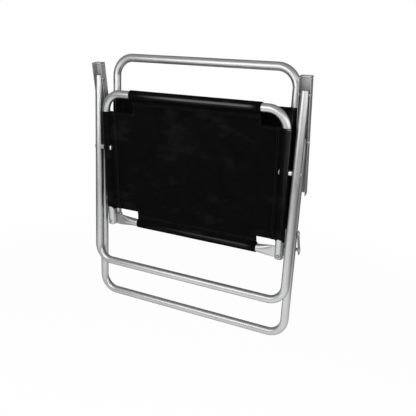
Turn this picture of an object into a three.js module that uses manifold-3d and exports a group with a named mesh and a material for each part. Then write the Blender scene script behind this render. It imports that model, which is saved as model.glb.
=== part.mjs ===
// Folding armchair in round aluminium tube with a black sling seat and back, drawn folded flat and upright.
// Millimetres. X runs across the chair, Y from its outer face (the seat's underside) to the back, Z up.
// The origin is the middle of the back's top bar, the handle that the folded chair is carried or hung by.
//
// Four bent tubes do the work: the back, the seat, the front leg and the rear leg. The armrest channels
// carry both legs and the back, the seat hangs on the front leg and on the back's lower ends, and a short
// link on each side ties those lower ends to the rear leg.
import * as THREE from "three";
import { mergeVertices } from "three/addons/utils/BufferGeometryUtils.js";
import Module from "manifold-3d";

const wasm = await Module();
wasm.setup();

// Tube and clearances.
const tubeRadius = 11;
const tubeWall = 1.2;
const gap = 0.3; // between neighbours that touch on the real chair
const overrun = 4; // how far a cutter reaches past what it cuts

// Widths, to the tube axes.
const legHalfWidth = 297;
const sideGap = 10; // leg tube to the seat's and the back's tubes
const frameHalfWidth = legHalfWidth - 2 * tubeRadius - sideGap; // seat and back

// The folding linkage, folded. Lengths along a member are measured from its pivot.
const armTilt = THREE.MathUtils.degToRad(11.31);
const seatTilt = THREE.MathUtils.degToRad(5.6);
const rearLegTilt = THREE.MathUtils.degToRad(0.51);
const armToRearLeg = 116; // front leg pivot to rear leg pivot, along the armrest
const armToBack = 246; // front leg pivot to back pivot, along the armrest
const backHoleOffset = 2; // the back's hole sits this much nearer to the channel's open edge
const legToSeat = 190.8; // armrest pivot to seat pivot, down the front leg
const seatBelowPivot = 235; // seat pivot to the seat tube's rear end
const crossbarInset = 9.5; // that end to the crossbar's axis
const crossbarAlong = seatBelowPivot - crossbarInset;
const pinAhead = 10.5; // rear pin ahead of the crossbar's axis
const seatToRearPin = crossbarAlong - pinAhead;
const rearPinRise = 28.5; // rear pin above the seat tube's axis
const rearLegToLink = 236; // armrest pivot to link pivot, down the rear leg

// Frames.
const frontLegDrop = 537.6; // armrest pivot to the axis of the leg's floor bar
const rearLegDrop = 532.3;
const legTop = 9; // leg tube above its armrest pivot
const legBend = 46; // centre line bend radius
const backAbovePivot = 302.7; // top bar axis above the armrest pivot
const backBelowPin = 7; // tube below the rear pin, short so that it turns clear of the crossbar
const backBend = 52;
const seatAbovePivot = 154.5; // seat pivot to the axis of the front bar
const seatBend = 50;

// Seat crossbar: a tube with both ends pressed flat, riveted behind the seat tube and turned up into ears.
const flatThickness = 3;
const flareLength = 35; // from round tube to flat
const flatRun = 25; // flat, from the flare's end to the seat tube's axis
const earBend = 4; // centre line
const earRound = 8.9;
const crossbarRivetBehind = 2.2; // the crossbar's axis
const crossbarRivetAlong = crossbarAlong + crossbarRivetBehind;

// Armrest channel.
const channelWidth = 30;
const channelDepth = 23;
const channelSheet = 1.6;
const channelCorner = 4.5;
const channelPivotDepth = 6; // pivot line behind the flange edges
const armAhead = 43; // channel past the front leg pivot
const armBehind = 12; // channel past the back pivot
const armLength = armAhead + armToBack + armBehind;

// Link plate.
const linkThickness = 2.5;
const linkHalfWidth = 7.5;
const linkTail = 16; // plate below the rear pin
const linkStandOff = 1; // plate clear of the leg tube

// Fabric.
const fabricThickness = 1.2;
const panelRise = 6.4; // the stretched panel's middle, from the side tubes' axes
const seatCutOut = 79; // side tube's axis to the ends of the front and rear sleeves
const seatWingFront = 104; // side sleeves reach this far ahead of the seat pivot
const rearCutOut = 42; // side sleeves' rear ends to the crossbar's axis
const seatWingRear = crossbarAlong - rearCutOut;
const backFabricTop = 100; // below the top bar's axis
const backFabricBottom = 54; // above the rear pin

// Rivets, pins, spacers, caps.
const shankRadius = 3;
const headRadius = 5.2;
const headHeight = 2.4;
const spacerRadius = 5;
const washerRadius = 7;
const washerThickness = 1;
const seatCapHead = 3;
const backCapHead = 1.5;
const capRoundShare = 0.85; // of the height that shows
const capStem = 4;

// Facets.
const tubeSides = 16;
const boreSides = 12;
const bendSteps = 6;
const flareSteps = 4;
const turnSteps = 2; // ears, caps and rivet heads
const pinSides = 12;

// Materials, from the photograph.
const finish = (color, roughness, metalness) => () =>
  new THREE.MeshStandardMaterial({ color, roughness, metalness });
const aluminium = finish(0xc6c8ca, 0.34, 0.95);
const plate = finish(0xb9bbbe, 0.42, 0.95);
const zinc = finish(0xdadcdd, 0.3, 0.9);
const sling = finish(0x111112, 0.85, 0);
const capPlastic = finish(0xb4b6b8, 0.55, 0);

// A closed geometry as a solid, and back.
function solid(geometry) {
  const bare = geometry.clone();
  bare.deleteAttribute("normal");
  bare.deleteAttribute("uv");
  const merged = mergeVertices(bare, 1e-4);
  return new wasm.Manifold(
    new wasm.Mesh({
      numProp: 3,
      vertProperties: new Float32Array(merged.attributes.position.array),
      triVerts: new Uint32Array(merged.index.array),
    }),
  );
}

function geometryOf(manifold) {
  const mesh = manifold.getMesh();
  return new THREE.BufferGeometry()
    .setAttribute("position", new THREE.BufferAttribute(new Float32Array(mesh.vertProperties), 3))
    .setIndex(new THREE.BufferAttribute(new Uint32Array(mesh.triVerts), 1))
    .toNonIndexed();
}

function cut(geometry, ...cutters) {
  const left = cutters.reduce((body, cutter) => body.subtract(solid(cutter)), solid(geometry));
  return finished(geometryOf(left));
}

function join(geometries) {
  const [first, ...rest] = geometries.map(solid);
  return geometryOf(rest.reduce((body, next) => body.add(next), first));
}

function finished(geometry) {
  geometry.computeVertexNormals();
  return geometry;
}

const ring = (radius, sides) =>
  Array.from({ length: sides }, (_, i) => {
    const angle = ((i + 0.5) / sides) * 2 * Math.PI;
    return new THREE.Vector2(radius * Math.cos(angle), radius * Math.sin(angle));
  });

// A polygon whose flats, not its corners, lie at the radius.
const holeRing = (radius, sides) => ring(radius / Math.cos(Math.PI / sides), sides);

const tubeSection = () => {
  const section = new THREE.Shape(ring(tubeRadius, tubeSides));
  section.holes.push(new THREE.Path(ring(tubeRadius - tubeWall, boreSides)));
  return section;
};

// A path in the XZ plane through given stations, each a point with its direction.
// The stations lie close in the bends and not at all in the straights.
class StationPath extends THREE.Curve {
  constructor(stations) {
    super();
    this.stations = stations;
  }
  get steps() {
    return this.stations.length - 1;
  }
  between(u) {
    const place = u * this.steps;
    const first = Math.min(Math.floor(place), this.steps - 1);
    return [this.stations[first], this.stations[first + 1], place - first];
  }
  getPoint(u) {
    const [a, b, share] = this.between(u);
    return a.point.clone().lerp(b.point, share);
  }
  getTangent(u) {
    const [a, b, share] = this.between(u);
    return a.direction.clone().lerp(b.direction, share).normalize();
  }
  getPointAt(u) {
    return this.getPoint(u);
  }
  getTangentAt(u) {
    return this.getTangent(u);
  }
}

// A U: two side tubes from their ends to a bar, with round bends. bar and end are heights.
function uPath(halfWidth, bar, end, bend) {
  const way = Math.sign(bar - end);
  const stations = [];
  const add = (x, z, dx, dz) =>
    stations.push({ point: new THREE.Vector3(x, 0, z), direction: new THREE.Vector3(dx, 0, dz) });
  add(-halfWidth, end, 0, way);
  for (let i = 0; i <= bendSteps; i += 1) {
    const turn = ((i / bendSteps) * Math.PI) / 2;
    const x = -halfWidth + bend * (1 - Math.cos(turn));
    const z = bar - way * bend * (1 - Math.sin(turn));
    add(x, z, Math.sin(turn), way * Math.cos(turn));
  }
  for (let i = bendSteps; i >= 0; i -= 1) {
    const turn = ((i / bendSteps) * Math.PI) / 2;
    const x = halfWidth - bend * (1 - Math.cos(turn));
    const z = bar - way * bend * (1 - Math.sin(turn));
    add(x, z, Math.sin(turn), -way * Math.cos(turn));
  }
  add(halfWidth, end, 0, -way);
  return new StationPath(stations);
}

function bentTube(path) {
  return new THREE.ExtrudeGeometry(tubeSection(), {
    steps: path.steps,
    extrudePath: path,
    bevelEnabled: false,
  });
}

// A rod along X from one x to the other, at a place in the YZ plane.
function rodX(radius, from, to, y = 0, z = 0, sides = pinSides) {
  return prismX(new THREE.Shape(holeRing(radius, sides)), from, to).translate(0, y, z);
}

// A flat outline, drawn with its x as Z and its y as Y, given a thickness along X.
function prismX(shape, from, to) {
  const turned = new THREE.Matrix4().makeBasis(
    new THREE.Vector3(0, 0, 1),
    new THREE.Vector3(0, 1, 0),
    new THREE.Vector3(-1, 0, 0),
  );
  return new THREE.ExtrudeGeometry(shape, { depth: to - from, bevelEnabled: false })
    .applyMatrix4(turned)
    .translate(to, 0, 0);
}

function turnedX(profile, sides = pinSides) {
  return finished(new THREE.LatheGeometry(profile, sides).rotateZ(-Math.PI / 2));
}

// A rivet or pin along X: a shank with a domed head on each end that is given one.
function rivet(from, to, headAtFrom, headAtTo) {
  const flat = headHeight / 3;
  const dome = (base, way) => [
    new THREE.Vector2(shankRadius, base),
    new THREE.Vector2(headRadius, base),
    new THREE.Vector2(headRadius, base + way * flat),
    new THREE.Vector2(headRadius * Math.SQRT1_2, base + way * headHeight * 0.85),
    new THREE.Vector2(0, base + way * headHeight),
  ];
  const plain = (base) => [new THREE.Vector2(shankRadius, base), new THREE.Vector2(0, base)];
  const low = headAtFrom ? dome(from, -1) : plain(from);
  const high = headAtTo ? dome(to, 1) : plain(to);
  return turnedX([...low.reverse(), ...high]);
}

function sleeve(outer, inner, from, to) {
  const at = (radius, x) => new THREE.Vector2(radius, x);
  return turnedX([at(inner, from), at(outer, from), at(outer, to), at(inner, to), at(inner, from)]);
}

// A cap for a tube end: a rounded head outside, a short stem inside. It points down from its own origin.
function tubeCap(head) {
  const round = (head - gap) * capRoundShare;
  const stemRadius = (tubeRadius - tubeWall) * Math.cos(Math.PI / boreSides) - gap;
  const profile = [
    new THREE.Vector2(0, -capStem),
    new THREE.Vector2(stemRadius, -capStem),
    new THREE.Vector2(stemRadius, gap),
    new THREE.Vector2(tubeRadius, gap),
  ];
  for (let i = 0; i <= turnSteps; i += 1) {
    const turn = ((i / turnSteps) * Math.PI) / 2;
    const radius = tubeRadius - round * (1 - Math.cos(turn));
    profile.push(new THREE.Vector2(radius, head - round * (1 - Math.sin(turn))));
  }
  profile.push(new THREE.Vector2(0, head));
  return turnedX(profile, tubeSides).rotateY(Math.PI / 2);
}

const chair = new THREE.Group();

// Places in the side view, as (Y, Z) pairs. tilt turns "down" towards +Y.
const down = (tilt) => new THREE.Vector2(Math.sin(tilt), -Math.cos(tilt));
const out = (tilt) => new THREE.Vector2(Math.cos(tilt), Math.sin(tilt));
const from = (place, tilt, along, rise = 0) =>
  place.clone().addScaledVector(down(tilt), along).addScaledVector(out(tilt), rise);

const armFront = new THREE.Vector2(0, 0);
const armMiddle = from(armFront, armTilt, armToRearLeg);
const armRear = from(armFront, armTilt, armToBack, -backHoleOffset);
const seatPivot = from(armFront, 0, legToSeat);
const rearPin = from(seatPivot, seatTilt, seatToRearPin, rearPinRise);
const linkPivot = from(armMiddle, rearLegTilt, rearLegToLink);
const backTilt = Math.atan2(rearPin.x - armRear.x, armRear.y - rearPin.y);
const backPivotToPin = armRear.distanceTo(rearPin);
const topBar = from(armRear, backTilt, -backAbovePivot);

// A group whose own origin is a pivot and whose own -Z runs down the member.
function member(pivot, tilt) {
  const group = new THREE.Group();
  group.position.set(0, pivot.x - topBar.x, pivot.y - topBar.y);
  group.rotation.x = tilt;
  chair.add(group);
  return group;
}

const backMember = member(armRear, backTilt);
const seatMember = member(seatPivot, seatTilt);
const frontLegMember = member(armFront, 0);
const rearLegMember = member(armMiddle, rearLegTilt);
const armMember = member(armFront, armTilt);
const linkTilt = Math.atan2(rearPin.x - linkPivot.x, linkPivot.y - rearPin.y);
const linkMember = member(rearPin, linkTilt);

function add(group, name, geometry, material) {
  const mesh = new THREE.Mesh(finished(geometry), material());
  mesh.name = name;
  group.add(mesh);
  return mesh;
}

// One piece on each side. The geometry is made for the +X side and mirrored for the other.
function addPair(group, name, geometry, material) {
  add(group, `${name}_right`, geometry, material);
  const mirrored = add(group, `${name}_left`, geometry.clone(), material);
  mirrored.scale.x = -1;
}

const holeRadius = shankRadius + gap;
const sleeveOuter = tubeRadius + gap + fabricThickness;
const fabricFace = frameHalfWidth + sleeveOuter;
const legInside = legHalfWidth - tubeRadius;
const legOutside = legHalfWidth + tubeRadius;
const channelInside = legHalfWidth - channelWidth / 2;
const channelOutside = legHalfWidth + channelWidth / 2;

const acrossBothSides = (radius, z, y = 0) =>
  rodX(radius, -channelOutside - overrun, channelOutside + overrun, y, z);

// Back: a tall U with the bar on top.
function backFrame() {
  const path = uPath(frameHalfWidth, backAbovePivot, -backPivotToPin - backBelowPin, backBend);
  return cut(
    bentTube(path),
    acrossBothSides(holeRadius, 0),
    acrossBothSides(holeRadius, -backPivotToPin),
  );
}

// Seat: a U with the bar in front. Each rear end is drilled for the crossbar's rivet as well.
function seatFrame() {
  const path = uPath(frameHalfWidth, seatAbovePivot, -seatBelowPivot, seatBend);
  const drills = [-1, 1].map((side) =>
    crossbarRivetHole().translate(side * frameHalfWidth, 0, -crossbarRivetAlong),
  );
  return cut(bentTube(path), acrossBothSides(holeRadius, 0), ...drills);
}

function crossbarRivetHole() {
  const reach = tubeRadius + flatThickness + overrun;
  return rodX(holeRadius, -reach, reach).rotateZ(Math.PI / 2);
}

function leg(drop, holes) {
  const path = uPath(legHalfWidth, -drop, legTop, legBend);
  return cut(bentTube(path), ...holes.map((along) => acrossBothSides(holeRadius, -along)));
}

// The crossbar is one tube followed from ear to ear. Its section goes from round to flat at each end,
// with the same length round the outside, and the flat end turns up beside the back's tube.
const flatHalf = flatThickness / 2;
const flatHeight = (2 * Math.PI * tubeRadius - (2 * Math.PI - 4) * flatHalf) / 4;
const crossbarRise = tubeRadius + gap + flatHalf;
const earMiddle = frameHalfWidth + tubeRadius + gap + 1 + flatHalf;
const earTop = rearPinRise + earRound;

function crossbarStations() {
  const half = [];
  const flareStart = frameHalfWidth - flatRun - flareLength;
  for (let i = 0; i <= flareSteps; i += 1) {
    const share = i / flareSteps;
    half.push({ x: flareStart + share * flareLength, y: crossbarRise, turn: 0, flat: share });
  }
  for (let i = 0; i <= turnSteps; i += 1) {
    const turn = ((i / turnSteps) * Math.PI) / 2;
    half.push({
      x: earMiddle - earBend * (1 - Math.sin(turn)),
      y: crossbarRise + earBend * (1 - Math.cos(turn)),
      turn,
      flat: 1,
    });
  }
  half.push({ x: earMiddle, y: earTop, turn: Math.PI / 2, flat: 1 });
  const mirrored = half.map((s) => ({ ...s, x: -s.x, turn: -s.turn })).reverse();
  return [...mirrored, ...half];
}

// The section's corner i of n, for a wall that is inset by some thickness.
function crossbarCorner(flat, inset, i, sides) {
  const ease = flat * flat * (3 - 2 * flat);
  const angle = ((i + 0.5) / sides) * 2 * Math.PI;
  const tall = THREE.MathUtils.lerp(tubeRadius, flatHeight, ease) - inset;
  const thick = THREE.MathUtils.lerp(tubeRadius, flatHalf, ease) - inset;
  const bow = THREE.MathUtils.lerp(1, 0.35, ease);
  const rounded = Math.sign(Math.sin(angle)) * Math.abs(Math.sin(angle)) ** bow;
  return { along: tall * Math.cos(angle), rise: thick * rounded };
}

function crossbarTube() {
  const stations = crossbarStations();
  const rows = [
    { inset: 0, sides: tubeSides },
    { inset: tubeWall, sides: tubeSides },
  ];
  const points = [];
  const index = (row, station, i) =>
    (row * stations.length + station) * tubeSides + ((i + tubeSides) % tubeSides);
  rows.forEach(({ inset, sides }) =>
    stations.forEach((s) => {
      for (let i = 0; i < sides; i += 1) {
        const { along, rise } = crossbarCorner(s.flat, inset, i, sides);
        points.push(s.x - rise * Math.sin(s.turn), s.y + rise * Math.cos(s.turn), -along);
      }
    }),
  );
  const faces = [];
  const quad = (a, b, c, d) => faces.push(a, c, b, a, d, c);
  const last = stations.length - 1;
  for (let i = 0; i < tubeSides; i += 1) {
    for (let s = 0; s < last; s += 1) {
      quad(index(0, s, i), index(0, s + 1, i), index(0, s + 1, i + 1), index(0, s, i + 1));
      quad(index(1, s, i), index(1, s, i + 1), index(1, s + 1, i + 1), index(1, s + 1, i));
    }
    quad(index(0, 0, i), index(0, 0, i + 1), index(1, 0, i + 1), index(1, 0, i));
    quad(index(0, last, i), index(1, last, i), index(1, last, i + 1), index(0, last, i + 1));
  }
  return new THREE.BufferGeometry()
    .setAttribute("position", new THREE.BufferAttribute(new Float32Array(points), 3))
    .setIndex(faces);
}

// What is trimmed off an ear: the corners of the tube's end, round the pin and down to the bend.
function earTrim(side) {
  const base = crossbarRise + earBend;
  const front = -(crossbarAlong - flatHeight);
  const rear = -(crossbarAlong + flatHeight);
  const beyond = earTop + overrun;
  const outline = new THREE.Shape();
  outline.moveTo(front + overrun, beyond);
  outline.lineTo(front + overrun, rearPinRise);
  outline.lineTo(front, rearPinRise);
  outline.absarc(front - earRound, rearPinRise, earRound, 0, (Math.PI * 3) / 4, false);
  outline.lineTo(rear, base);
  outline.lineTo(rear - overrun, base);
  outline.lineTo(rear - overrun, beyond);
  outline.closePath();
  const near = frameHalfWidth + tubeRadius - gap;
  const far = earMiddle + flatThickness;
  return side > 0 ? prismX(outline, near, far) : prismX(outline, -far, -near);
}

function seatCrossbar() {
  const tube = crossbarTube().translate(0, 0, -crossbarAlong);
  const drills = [-1, 1].map((side) =>
    crossbarRivetHole().translate(side * frameHalfWidth, crossbarRise, -crossbarRivetAlong),
  );
  return cut(
    tube,
    earTrim(-1),
    earTrim(1),
    acrossBothSides(holeRadius, -seatToRearPin, rearPinRise),
    ...drills,
  );
}

// The armrest: a channel of folded sheet with round shoulders, open towards the outer face.
function armChannel() {
  const half = channelWidth / 2;
  const back = channelDepth - channelPivotDepth;
  const innerCorner = channelCorner - channelSheet;
  const section = new THREE.Shape();
  section.moveTo(-half, -channelPivotDepth);
  section.lineTo(-half + channelSheet, -channelPivotDepth);
  section.lineTo(-half + channelSheet, back - channelCorner);
  section.absarc(-half + channelCorner, back - channelCorner, innerCorner, Math.PI, Math.PI / 2, true);
  section.lineTo(half - channelCorner, back - channelSheet);
  section.absarc(half - channelCorner, back - channelCorner, innerCorner, Math.PI / 2, 0, true);
  section.lineTo(half - channelSheet, -channelPivotDepth);
  section.lineTo(half, -channelPivotDepth);
  section.lineTo(half, back - channelCorner);
  section.absarc(half - channelCorner, back - channelCorner, channelCorner, 0, Math.PI / 2, false);
  section.lineTo(-half + channelCorner, back);
  section.absarc(-half + channelCorner, back - channelCorner, channelCorner, Math.PI / 2, Math.PI, false);
  section.closePath();
  const channel = new THREE.ExtrudeGeometry(section, {
    depth: armLength,
    bevelEnabled: false,
    curveSegments: 4,
  }).translate(legHalfWidth, 0, armAhead - armLength);
  return cut(
    channel,
    acrossBothSides(holeRadius, 0),
    acrossBothSides(holeRadius, -armToRearLeg),
    rodX(holeRadius, 0, legHalfWidth, -backHoleOffset, -armToBack),
  );
}

// The link: a flat bar with round ends, from the rear pin (at the group's origin) up to the rear leg.
const linkLength = linkPivot.distanceTo(rearPin);
const linkInside = legOutside + linkStandOff;
const linkOutside = linkInside + linkThickness;

function linkPlate() {
  const outline = new THREE.Shape();
  const tail = linkTail - linkHalfWidth;
  outline.absarc(-tail, 0, linkHalfWidth, Math.PI / 2, (Math.PI * 3) / 2, false);
  outline.absarc(linkLength, 0, linkHalfWidth, -Math.PI / 2, Math.PI / 2, false);
  outline.holes.push(new THREE.Path(holeRing(holeRadius, pinSides)));
  const farHole = holeRing(holeRadius, pinSides).map((p) => p.add(new THREE.Vector2(linkLength, 0)));
  outline.holes.push(new THREE.Path(farHole));
  return prismX(outline, linkInside, linkOutside);
}

// A sleeve of fabric round a tube along X or Z, at a place in its cross-section, before the tube's
// own space is taken out of it.
function fabricRod(radius, length) {
  return rodX(radius, -length / 2, length / 2, 0, 0, tubeSides);
}

function fabricPanel(width, height) {
  return new THREE.BoxGeometry(width, fabricThickness, height);
}

const sleeveInner = tubeRadius + gap;

// Seat fabric: a cross-shaped sling. The side sleeves stop short of the corners, the front and rear
// sleeves lie between the bends, and the crossbar behind the tubes pulls the panel to that side.
function seatFabric() {
  const wingLength = seatWingFront + seatWingRear;
  const wingMiddle = (seatWingFront - seatWingRear) / 2;
  const wing = (radius, side, length) =>
    fabricRod(radius, length).rotateY(Math.PI / 2).translate(side * frameHalfWidth, 0, wingMiddle);
  const front = (radius, length) => fabricRod(radius, length).translate(0, 0, seatAbovePivot);
  const rear = (radius, length) => fabricRod(radius, length).translate(0, crossbarRise, -crossbarAlong);
  const reach = 2 * (frameHalfWidth - seatCutOut);
  const longPanel = fabricPanel(reach, seatAbovePivot + crossbarAlong);
  const sling = join([
    wing(sleeveOuter, -1, wingLength),
    wing(sleeveOuter, 1, wingLength),
    front(sleeveOuter, reach),
    rear(sleeveOuter, reach),
    fabricPanel(2 * frameHalfWidth, wingLength).translate(0, panelRise, wingMiddle),
    longPanel.translate(0, panelRise, (seatAbovePivot - crossbarAlong) / 2),
  ]);
  return cut(
    sling,
    wing(sleeveInner, -1, wingLength + overrun),
    wing(sleeveInner, 1, wingLength + overrun),
    front(sleeveInner, reach + overrun),
    rear(sleeveInner, reach + overrun),
    acrossBothSides(holeRadius, 0),
  );
}

// Back fabric: one panel with a sleeve down each side tube, on the side that faces the seat.
function backFabric() {
  const top = backAbovePivot - backFabricTop;
  const bottom = -backPivotToPin + backFabricBottom;
  const middle = (top + bottom) / 2;
  const height = top - bottom;
  const side = (radius, way, length) =>
    fabricRod(radius, length).rotateY(Math.PI / 2).translate(way * frameHalfWidth, 0, middle);
  const sling = join([
    side(sleeveOuter, -1, height),
    side(sleeveOuter, 1, height),
    fabricPanel(2 * frameHalfWidth, height).translate(0, -panelRise, middle),
  ]);
  return cut(
    sling,
    side(sleeveInner, -1, height + overrun),
    side(sleeveInner, 1, height + overrun),
    acrossBothSides(holeRadius, 0),
  );
}

add(backMember, "back_frame", backFrame(), aluminium);
add(backMember, "back_fabric", backFabric(), sling);
add(seatMember, "seat_frame", seatFrame(), aluminium);
add(seatMember, "seat_crossbar", seatCrossbar(), aluminium);
add(seatMember, "seat_fabric", seatFabric(), sling);
add(frontLegMember, "front_leg", leg(frontLegDrop, [0, legToSeat]), aluminium);
add(rearLegMember, "rear_leg", leg(rearLegDrop, [0, rearLegToLink]), aluminium);
addPair(armMember, "armrest", armChannel(), plate);
addPair(linkMember, "link", linkPlate(), plate);

// Caps on the open tube ends that face down: the back's lower ends and the seat's rear ends.
const backCap = tubeCap(backCapHead).translate(frameHalfWidth, 0, -backPivotToPin - backBelowPin);
addPair(backMember, "back_cap", backCap, capPlastic);
const seatCap = tubeCap(seatCapHead).translate(frameHalfWidth, 0, -seatBelowPivot);
addPair(seatMember, "seat_cap", seatCap, capPlastic);

// Armrest rivets, through the channel and the leg tube.
const armRivet = () => rivet(channelInside - gap, channelOutside + gap, true, true);
addPair(armMember, "front_arm_rivet", armRivet(), zinc);
addPair(armMember, "middle_arm_rivet", armRivet().translate(0, 0, -armToRearLeg), zinc);

// Back to armrest: through the sleeve and the back tube, a spacer and the channel's inner flange.
const backRivetFrom = frameHalfWidth - sleeveOuter - gap;
const rearArmRivet = rivet(backRivetFrom, channelInside + channelSheet + gap, true, true);
addPair(
  armMember,
  "rear_arm_rivet",
  rearArmRivet.translate(0, -backHoleOffset, -armToBack),
  zinc,
);
const backSpacer = sleeve(spacerRadius, holeRadius, fabricFace + gap, channelInside - gap);
addPair(armMember, "back_spacer", backSpacer.translate(0, -backHoleOffset, -armToBack), zinc);

// Seat to front leg. The real rivet is one piece. Here its inner half stays with the seat and its
// outer half with the leg, and the two stop just short of each other beside the leg tube.
const seatRivet = rivet(backRivetFrom, legInside - gap, true, false);
addPair(seatMember, "seat_pivot_rivet", seatRivet, zinc);
const seatSpacer = sleeve(spacerRadius, holeRadius, fabricFace + gap, legInside - gap);
addPair(seatMember, "seat_pivot_spacer", seatSpacer, zinc);
const legStud = rivet(legInside, legOutside + gap, false, true);
addPair(frontLegMember, "front_leg_stud", legStud.translate(0, 0, -legToSeat), zinc);

// Rear pin: back tube, crossbar ear, and a spacer that passes behind the rear leg. It stops just short
// of the link, whose own head stands in line with it when the chair is folded or fully open.
const rearPinPlace = (geometry) => geometry.translate(0, rearPinRise, -seatToRearPin);
const washerFrom = frameHalfWidth - tubeRadius - gap - washerThickness;
const rearPinBody = rivet(washerFrom - gap, linkInside - gap, true, false);
addPair(seatMember, "rear_pin", rearPinPlace(rearPinBody), zinc);
const earOutside = earMiddle + flatHalf;
const rearSpacer = sleeve(spacerRadius, holeRadius, earOutside + gap, linkInside - gap);
addPair(seatMember, "rear_pin_spacer", rearPinPlace(rearSpacer), zinc);
const washer = sleeve(washerRadius, holeRadius, washerFrom, washerFrom + washerThickness);
addPair(seatMember, "rear_pin_washer", rearPinPlace(washer), zinc);

const linkPinHead = rivet(linkInside, linkOutside + gap, false, true);
addPair(linkMember, "link_pin_head", linkPinHead, zinc);

// Link to rear leg.
const linkRivet = rivet(legInside - gap, linkOutside + gap, true, true);
addPair(rearLegMember, "link_rivet", linkRivet.translate(0, 0, -rearLegToLink), zinc);

// Crossbar rivets, square to the seat, through the seat tube and the flattened end.
const crossbarRivet = rivet(-tubeRadius - gap, crossbarRise + flatHalf + gap, true, true)
  .rotateZ(Math.PI / 2)
  .translate(frameHalfWidth, 0, -crossbarRivetAlong);
addPair(seatMember, "crossbar_rivet", crossbarRivet, zinc);

export default chair;
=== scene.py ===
import math

import bmesh
import bpy
from mathutils import Matrix, Vector, noise


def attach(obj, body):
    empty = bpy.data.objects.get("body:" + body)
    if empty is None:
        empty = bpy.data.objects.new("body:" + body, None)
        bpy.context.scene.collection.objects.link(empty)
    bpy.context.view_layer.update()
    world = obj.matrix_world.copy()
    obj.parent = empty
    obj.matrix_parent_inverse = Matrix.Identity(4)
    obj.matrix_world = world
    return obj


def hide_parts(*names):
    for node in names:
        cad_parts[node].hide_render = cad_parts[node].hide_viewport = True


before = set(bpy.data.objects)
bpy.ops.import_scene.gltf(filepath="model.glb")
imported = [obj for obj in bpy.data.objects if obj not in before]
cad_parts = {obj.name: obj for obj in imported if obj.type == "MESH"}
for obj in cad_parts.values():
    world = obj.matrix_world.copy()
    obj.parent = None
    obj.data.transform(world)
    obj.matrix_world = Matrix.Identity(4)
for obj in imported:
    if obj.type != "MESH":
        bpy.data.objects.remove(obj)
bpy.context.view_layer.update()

scene = bpy.context.scene
mm = 0.001
nearly = 0.2 * mm  # closer than this counts as the same place
quarter = math.pi / 2  # of a turn

# camera, where the photograph was taken from
photoView = {"lens": 44.914, "sensor": 36, "near": 10 * mm, "place": (0.630005, -1.265713, 0.003647),
             "yaw": 24.851, "pitch": 15.824, "roll": 3.225}

cameraData = bpy.data.cameras.new("photoCamera")
cameraData.lens = photoView["lens"]
cameraData.sensor_width = photoView["sensor"]
cameraData.clip_start = photoView["near"]
camera = bpy.data.objects.new("photoCamera", cameraData)
scene.collection.objects.link(camera)
turned = (Matrix.Rotation(math.radians(photoView["yaw"]), 3, "Z")
          @ Matrix.Rotation(math.radians(90 - photoView["pitch"]), 3, "X")
          @ Matrix.Rotation(math.radians(photoView["roll"]), 3, "Z"))
camera.location = photoView["place"]
camera.rotation_euler = turned.to_euler()
scene.camera = camera


# shader maths written as Python

class Wire:
    def __init__(self, owner, socket):
        self.owner, self.socket = owner, socket

    def math(self, operation, *others):
        return self.owner.node("Math", {"operation": operation}, dict(enumerate((self,) + others)))

    def __add__(self, other): return self.math("ADD", other)
    def __radd__(self, other): return self.math("ADD", other)
    def __mul__(self, other): return self.math("MULTIPLY", other)
    def __rmul__(self, other): return self.math("MULTIPLY", other)
    def __sub__(self, other): return self.math("SUBTRACT", other)
    def __rsub__(self, other): return self.owner.node("Math", {"operation": "SUBTRACT"}, {0: other, 1: self})


class Nodes:
    def __init__(self, tree):
        self.tree = tree

    def node(self, kind, settings=None, values=None, output=0):
        made = self.tree.nodes.new("ShaderNode" + kind)
        for key, value in (settings or {}).items():
            setattr(made, key, value)
        for key, value in (values or {}).items():
            self.feed(made.inputs[key], value)
        return Wire(self, made.outputs[output])

    def feed(self, socket, value):
        if isinstance(value, Wire):
            self.tree.links.new(value.socket, socket)
        else:
            socket.default_value = value

    def place(self, scale=(1, 1, 1), turn=(0, 0, 0), shift=(0, 0, 0), attribute=None):
        start = (self.node("Attribute", {"attribute_name": attribute}, output=1) if attribute
                 else self.node("TexCoord", output=3))
        return self.node("Mapping", {"vector_type": "POINT"},
                         {"Vector": start, "Scale": scale, "Rotation": turn, "Location": shift})

    def part(self, vector, axis):
        return self.node("SeparateXYZ", {}, {0: vector}, output="XYZ".index(axis))

    def cloud(self, where, size, detail=3.0, rough=0.5):
        return self.node("TexNoise", {}, {"Vector": where, "Scale": 1 / size, "Detail": detail,
                                          "Roughness": rough})

    def between(self, value, low, high, newLow=0.0, newHigh=1.0):
        return self.node("MapRange", {"interpolation_type": "SMOOTHSTEP"},
                         {0: value, 1: low, 2: high, 3: newLow, 4: newHigh})

    def band(self, value, start, full, fade, end):
        return self.between(value, start, full) * self.between(value, end, fade)

    def blendColor(self, amount, a, b):
        return self.node("Mix", {"data_type": "RGBA"}, {0: amount, 6: a, 7: b}, output=2)

    def bump(self, height, depth, strength):
        return self.node("Bump", {}, {"Height": height, "Distance": depth, "Strength": strength})

    def ray(self, kind):
        return self.node("LightPath", output=f"Is {kind} Ray")

    def seen(self):  # by the camera, straight or through glass
        return self.ray("Camera").math("MAXIMUM", self.ray("Transmission"))


class Finish(Nodes):
    sockets = {"color": "Base Color", "roughness": "Roughness", "metallic": "Metallic", "normal": "Normal",
               "specular": "Specular IOR Level", "coat": "Coat Weight", "coatRoughness": "Coat Roughness",
               "coatIndex": "Coat IOR", "limb": "Specular Tint"}

    def __init__(self, name):
        self.material = bpy.data.materials.new(name)
        self.material.use_nodes = True
        super().__init__(self.material.node_tree)
        self.shader = self.tree.nodes["Principled BSDF"]

    def set(self, **values):
        for key, value in values.items():
            self.feed(self.shader.inputs[self.sockets[key]], value)


def grey(value, tint=0.0):
    return (value * (1 - tint), value, value * (1 + tint), 1)


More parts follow.
